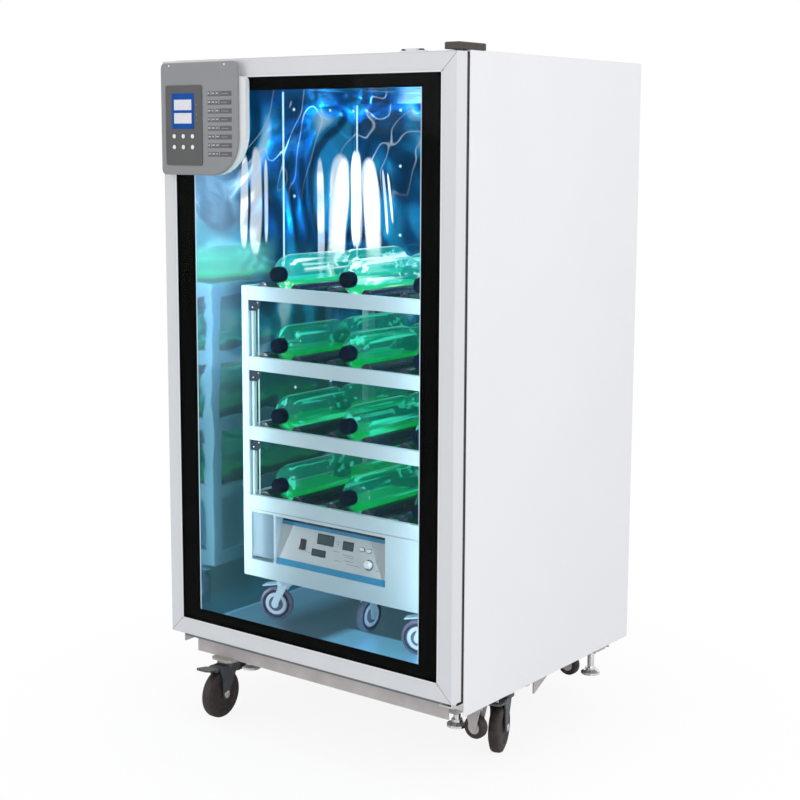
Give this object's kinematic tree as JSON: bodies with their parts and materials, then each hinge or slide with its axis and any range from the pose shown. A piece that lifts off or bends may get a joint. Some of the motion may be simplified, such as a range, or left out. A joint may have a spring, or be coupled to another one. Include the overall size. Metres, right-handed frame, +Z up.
{
  "type": "roll-in incubator",
  "caption": "Floor-standing glass-door incubator on casters with a control panel on the door and a wheeled rack of roller bottles inside.",
  "frame": {"origin": "on the floor below the middle of the overall box", "axes": "+Z up, the door faces -Y, +X to the right as one faces the door"},
  "size_m": [0.894, 0.8446, 1.6791],
  "materials": {
    "border_black": "black border behind glass",
    "bottle_green": "clear bottle, green liquid",
    "chassis_paint": "beige-grey paint, satin",
    "chrome": "chromed steel, rubber sole",
    "cover_brown": "dark brown moulding",
    "door_aluminium": "off-white anodised extrusion",
    "face_grey": "dark grey faceplate",
    "fan_black": "black moulding",
    "fascia_grey": "light grey with blue stripes",
    "foam": "rigid insulation foam",
    "fork_grey": "dark grey pressed steel",
    "gasket": "dark grey extruded seal",
    "glass": "clear float glass",
    "key_white": "pale key caps",
    "mirror_steel": "polished stainless sheet",
    "panel_grey": "mid-grey moulding",
    "panel_white": "white moulding",
    "rack_paint": "white powder coat",
    "rack_tyre": "grey tyre",
    "switch_black": "black rocker",
    "tyre_black": "brown-black rubber tyre",
    "white_paint": "white powder coat, satin",
    "zinc": "bright zinc plate"
  },
  "bodies": {
    "cabinet": {"outer_shell": "white_paint", "insulation": "foam", "inner_liner": "mirror_steel", "chassis_frame": "chassis_paint", "hinge_bracket": "zinc", "upper_hinge": "cover_brown", "air_duct": "mirror_steel"},
    "door": {"door_frame": "door_aluminium", "outer_pane": "glass", "inner_pane": "glass", "glass_border": "border_black", "door_gasket": "gasket", "panel_base": "panel_white", "panel_cover": "panel_grey", "panel_faceplate": "face_grey"},
    "rack": {"rack_frame": "rack_paint", "control_box": "rack_paint", "control_fascia": "fascia_grey"},
    "key_1_1_body": {"key_1_1": "key_white"},
    "key_1_2_body": {"key_1_2": "key_white"},
    "key_1_3_body": {"key_1_3": "key_white"},
    "key_2_1_body": {"key_2_1": "key_white"},
    "key_2_2_body": {"key_2_2": "key_white"},
    "key_2_3_body": {"key_2_3": "key_white"},
    "rocker": {"rocker_switch": "switch_black"},
    "knob": {"speed_knob": "key_white"},
    "speed_button_1_body": {"speed_button_1": "key_white"},
    "speed_button_2_body": {"speed_button_2": "key_white"},
    "fork_front_left": {"caster_fork_front_left": "fork_grey"},
    "pedal_front_left": {"brake_pedal_front_left": "fork_grey"},
    "fork_front_right": {"caster_fork_front_right": "fork_grey"},
    "pedal_front_right": {"brake_pedal_front_right": "fork_grey"},
    "foot_front_left": {"levelling_foot_front_left": "chrome"},
    "foot_front_right": {"levelling_foot_front_right": "chrome"},
    "foot_rear_left": {"levelling_foot_rear_left": "chrome"},
    "foot_rear_right": {"levelling_foot_rear_right": "chrome"},
    "rack_fork_left_body": {"rack_fork_left": "zinc"},
    "rack_fork_right_body": {"rack_fork_right": "zinc"},
    "bottles_1_1": {"bottle_lane_1_1": "bottle_green"},
    "bottles_1_2": {"bottle_lane_1_2": "bottle_green"},
    "bottles_1_3": {"bottle_lane_1_3": "bottle_green"},
    "bottles_2_1": {"bottle_lane_2_1": "bottle_green"},
    "bottles_2_2": {"bottle_lane_2_2": "bottle_green"},
    "bottles_2_3": {"bottle_lane_2_3": "bottle_green"},
    "bottles_3_1": {"bottle_lane_3_1": "bottle_green"},
    "bottles_3_2": {"bottle_lane_3_2": "bottle_green"},
    "bottles_3_3": {"bottle_lane_3_3": "bottle_green"},
    "bottles_4_1": {"bottle_lane_4_1": "bottle_green"},
    "bottles_4_2": {"bottle_lane_4_2": "bottle_green"},
    "bottles_4_3": {"bottle_lane_4_3": "bottle_green"},
    "wheel_front_left": {"caster_wheel_front_left": "tyre_black"},
    "wheel_front_right": {"caster_wheel_front_right": "tyre_black"},
    "wheel_rear_left": {"caster_wheel_rear_left": "tyre_black"},
    "wheel_rear_right": {"caster_wheel_rear_right": "tyre_black"},
    "rack_wheel_left_body": {"rack_wheel_left": "rack_tyre"},
    "rack_wheel_right_body": {"rack_wheel_right": "rack_tyre"},
    "rack_wheel_middle_body": {"rack_wheel_middle": "rack_tyre"},
    "rack_wheel_rear_left_body": {"rack_wheel_rear_left": "rack_tyre"},
    "rack_wheel_rear_right_body": {"rack_wheel_rear_right": "rack_tyre"},
    "fan": {"fan_rotor": "fan_black"}
  },
  "joints": [
    {"name": "door_hinge", "type": "hinge", "parent": "cabinet", "child": "door", "pos_m": [0.4395, -0.35915, 0.2093], "axis": [0, 0, 1], "range_deg": [0, 110]},
    {"name": "rack_roll", "type": "slide", "parent": "cabinet", "child": "rack", "axis": [0, -1, 0], "range_m": [-0.0077, 0.09]},
    {"name": "key_1_1_press", "type": "slide", "parent": "door", "child": "key_1_1_body", "axis": [0, 1, 0], "range_m": [0, 0.0008], "stiffness_N_per_m": 300},
    {"name": "key_1_2_press", "type": "slide", "parent": "door", "child": "key_1_2_body", "axis": [0, 1, 0], "range_m": [0, 0.0008], "stiffness_N_per_m": 300},
    {"name": "key_1_3_press", "type": "slide", "parent": "door", "child": "key_1_3_body", "axis": [0, 1, 0], "range_m": [0, 0.0008], "stiffness_N_per_m": 300},
    {"name": "key_2_1_press", "type": "slide", "parent": "door", "child": "key_2_1_body", "axis": [0, 1, 0], "range_m": [0, 0.0008], "stiffness_N_per_m": 300},
    {"name": "key_2_2_press", "type": "slide", "parent": "door", "child": "key_2_2_body", "axis": [0, 1, 0], "range_m": [0, 0.0008], "stiffness_N_per_m": 300},
    {"name": "key_2_3_press", "type": "slide", "parent": "door", "child": "key_2_3_body", "axis": [0, 1, 0], "range_m": [0, 0.0008], "stiffness_N_per_m": 300},
    {"name": "rocker_tilt", "type": "hinge", "parent": "rack", "child": "rocker", "pos_m": [-0.147, -0.20105, 0.44966], "axis": [1, 0, 0], "range_deg": [0, 16]},
    {"name": "knob_turn", "type": "hinge", "parent": "rack", "child": "knob", "pos_m": [0.071, -0.20474, 0.43409], "axis": [0, 0.973, -0.2309], "range_deg": [-140, 140]},
    {"name": "speed_button_1_press", "type": "slide", "parent": "rack", "child": "speed_button_1_body", "axis": [0, 0.973, -0.2309], "range_m": [0, 0.0015], "stiffness_N_per_m": 300},
    {"name": "speed_button_2_press", "type": "slide", "parent": "rack", "child": "speed_button_2_body", "axis": [0, 0.973, -0.2309], "range_m": [0, 0.0015], "stiffness_N_per_m": 300},
    {"name": "swivel_front_left", "type": "hinge", "parent": "cabinet", "child": "fork_front_left", "pos_m": [-0.306, -0.31465, 0.14], "axis": [0, 0, 1], "continuous": true},
    {"name": "brake_front_left", "type": "hinge", "parent": "fork_front_left", "child": "pedal_front_left", "pos_m": [-0.30255, -0.35952, 0.134], "axis": [0.9971, 0.0767, 0], "range_deg": [0, 12]},
    {"name": "swivel_front_right", "type": "hinge", "parent": "cabinet", "child": "fork_front_right", "pos_m": [0.38, -0.06865, 0.14], "axis": [0, 0, 1], "continuous": true},
    {"name": "brake_front_right", "type": "hinge", "parent": "fork_front_right", "child": "pedal_front_right", "pos_m": [0.39524, -0.11099, 0.134], "axis": [0.9409, 0.3387, 0], "range_deg": [0, 12]},
    {"name": "foot_screw_front_left", "type": "slide", "parent": "cabinet", "child": "foot_front_left", "axis": [0, 0, 1], "range_m": [-0.02, 0.002]},
    {"name": "foot_screw_front_right", "type": "slide", "parent": "cabinet", "child": "foot_front_right", "axis": [0, 0, 1], "range_m": [-0.02, 0.002]},
    {"name": "foot_screw_rear_left", "type": "slide", "parent": "cabinet", "child": "foot_rear_left", "axis": [0, 0, 1], "range_m": [-0.02, 0.002]},
    {"name": "foot_screw_rear_right", "type": "slide", "parent": "cabinet", "child": "foot_rear_right", "axis": [0, 0, 1], "range_m": [-0.02, 0.002]},
    {"name": "rack_swivel_left", "type": "hinge", "parent": "rack", "child": "rack_fork_left_body", "pos_m": [-0.232, -0.17665, 0.3321], "axis": [0, 0, 1], "continuous": true},
    {"name": "rack_swivel_right", "type": "hinge", "parent": "rack", "child": "rack_fork_right_body", "pos_m": [0.232, -0.17665, 0.3321], "axis": [0, 0, 1], "continuous": true},
    {"name": "bottle_roll_1_1", "type": "hinge", "parent": "rack", "child": "bottles_1_1", "pos_m": [-0.226, -0.21665, 0.5909], "axis": [0, 1, 0], "continuous": true},
    {"name": "bottle_roll_1_2", "type": "hinge", "parent": "rack", "child": "bottles_1_2", "pos_m": [0, -0.21665, 0.5909], "axis": [0, 1, 0], "continuous": true},
    {"name": "bottle_roll_1_3", "type": "hinge", "parent": "rack", "child": "bottles_1_3", "pos_m": [0.226, -0.21665, 0.5909], "axis": [0, 1, 0], "continuous": true},
    {"name": "bottle_roll_2_1", "type": "hinge", "parent": "rack", "child": "bottles_2_1", "pos_m": [-0.226, -0.21665, 0.7719], "axis": [0, 1, 0], "continuous": true},
    {"name": "bottle_roll_2_2", "type": "hinge", "parent": "rack", "child": "bottles_2_2", "pos_m": [0, -0.21665, 0.7719], "axis": [0, 1, 0], "continuous": true},
    {"name": "bottle_roll_2_3", "type": "hinge", "parent": "rack", "child": "bottles_2_3", "pos_m": [0.226, -0.21665, 0.7719], "axis": [0, 1, 0], "continuous": true},
    {"name": "bottle_roll_3_1", "type": "hinge", "parent": "rack", "child": "bottles_3_1", "pos_m": [-0.226, -0.21665, 0.9529], "axis": [0, 1, 0], "continuous": true},
    {"name": "bottle_roll_3_2", "type": "hinge", "parent": "rack", "child": "bottles_3_2", "pos_m": [0, -0.21665, 0.9529], "axis": [0, 1, 0], "continuous": true},
    {"name": "bottle_roll_3_3", "type": "hinge", "parent": "rack", "child": "bottles_3_3", "pos_m": [0.226, -0.21665, 0.9529], "axis": [0, 1, 0], "continuous": true},
    {"name": "bottle_roll_4_1", "type": "hinge", "parent": "rack", "child": "bottles_4_1", "pos_m": [-0.226, -0.21665, 1.1339], "axis": [0, 1, 0], "continuous": true},
    {"name": "bottle_roll_4_2", "type": "hinge", "parent": "rack", "child": "bottles_4_2", "pos_m": [0, -0.21665, 1.1339], "axis": [0, 1, 0], "continuous": true},
    {"name": "bottle_roll_4_3", "type": "hinge", "parent": "rack", "child": "bottles_4_3", "pos_m": [0.226, -0.21665, 1.1339], "axis": [0, 1, 0], "continuous": true},
    {"name": "wheel_spin_front_left", "type": "hinge", "parent": "fork_front_left", "child": "wheel_front_left", "pos_m": [-0.30355, -0.34656, 0.0625], "axis": [0.9971, 0.0767, 0], "continuous": true},
    {"name": "wheel_spin_front_right", "type": "hinge", "parent": "fork_front_right", "child": "wheel_front_right", "pos_m": [0.39084, -0.09876, 0.0625], "axis": [0.9409, 0.3387, 0], "continuous": true},
    {"name": "wheel_spin_rear_left", "type": "hinge", "parent": "cabinet", "child": "wheel_rear_left", "pos_m": [-0.19, 0.32435, 0.0625], "axis": [1, 0, 0], "continuous": true},
    {"name": "wheel_spin_rear_right", "type": "hinge", "parent": "cabinet", "child": "wheel_rear_right", "pos_m": [0.19, 0.32435, 0.0625], "axis": [1, 0, 0], "continuous": true},
    {"name": "rack_wheel_spin_left", "type": "hinge", "parent": "rack_fork_left_body", "child": "rack_wheel_left_body", "pos_m": [-0.25267, -0.18418, 0.2721], "axis": [0.342, -0.9397, 0], "continuous": true},
    {"name": "rack_wheel_spin_right", "type": "hinge", "parent": "rack_fork_right_body", "child": "rack_wheel_right_body", "pos_m": [0.21133, -0.18418, 0.2721], "axis": [0.342, -0.9397, 0], "continuous": true},
    {"name": "rack_wheel_spin_middle", "type": "hinge", "parent": "rack", "child": "rack_wheel_middle_body", "pos_m": [0, -0.11665, 0.2721], "axis": [1, 0, 0], "continuous": true},
    {"name": "rack_wheel_spin_rear_left", "type": "hinge", "parent": "rack", "child": "rack_wheel_rear_left_body", "pos_m": [-0.28, 0.25335, 0.2721], "axis": [1, 0, 0], "continuous": true},
    {"name": "rack_wheel_spin_rear_right", "type": "hinge", "parent": "rack", "child": "rack_wheel_rear_right_body", "pos_m": [0.28, 0.25335, 0.2721], "axis": [1, 0, 0], "continuous": true},
    {"name": "fan_spin", "type": "hinge", "parent": "cabinet", "child": "fan", "pos_m": [0, 0.34035, 1.0693], "axis": [0, 1, 0], "continuous": true}
  ],
  "couplings": [
    {"joint": "bottle_roll_1_2", "follows": "bottle_roll_1_1", "ratio": 1},
    {"joint": "bottle_roll_1_3", "follows": "bottle_roll_1_1", "ratio": 1},
    {"joint": "bottle_roll_2_1", "follows": "bottle_roll_1_1", "ratio": 1},
    {"joint": "bottle_roll_2_2", "follows": "bottle_roll_1_1", "ratio": 1},
    {"joint": "bottle_roll_2_3", "follows": "bottle_roll_1_1", "ratio": 1},
    {"joint": "bottle_roll_3_1", "follows": "bottle_roll_1_1", "ratio": 1},
    {"joint": "bottle_roll_3_2", "follows": "bottle_roll_1_1", "ratio": 1},
    {"joint": "bottle_roll_3_3", "follows": "bottle_roll_1_1", "ratio": 1},
    {"joint": "bottle_roll_4_1", "follows": "bottle_roll_1_1", "ratio": 1},
    {"joint": "bottle_roll_4_2", "follows": "bottle_roll_1_1", "ratio": 1},
    {"joint": "bottle_roll_4_3", "follows": "bottle_roll_1_1", "ratio": 1},
    {"joint": "rack_wheel_spin_middle", "follows": "rack_roll", "rad_per_m": 22.222},
    {"joint": "rack_wheel_spin_rear_left", "follows": "rack_roll", "rad_per_m": 22.222},
    {"joint": "rack_wheel_spin_rear_right", "follows": "rack_roll", "rad_per_m": 22.222}
  ]
}
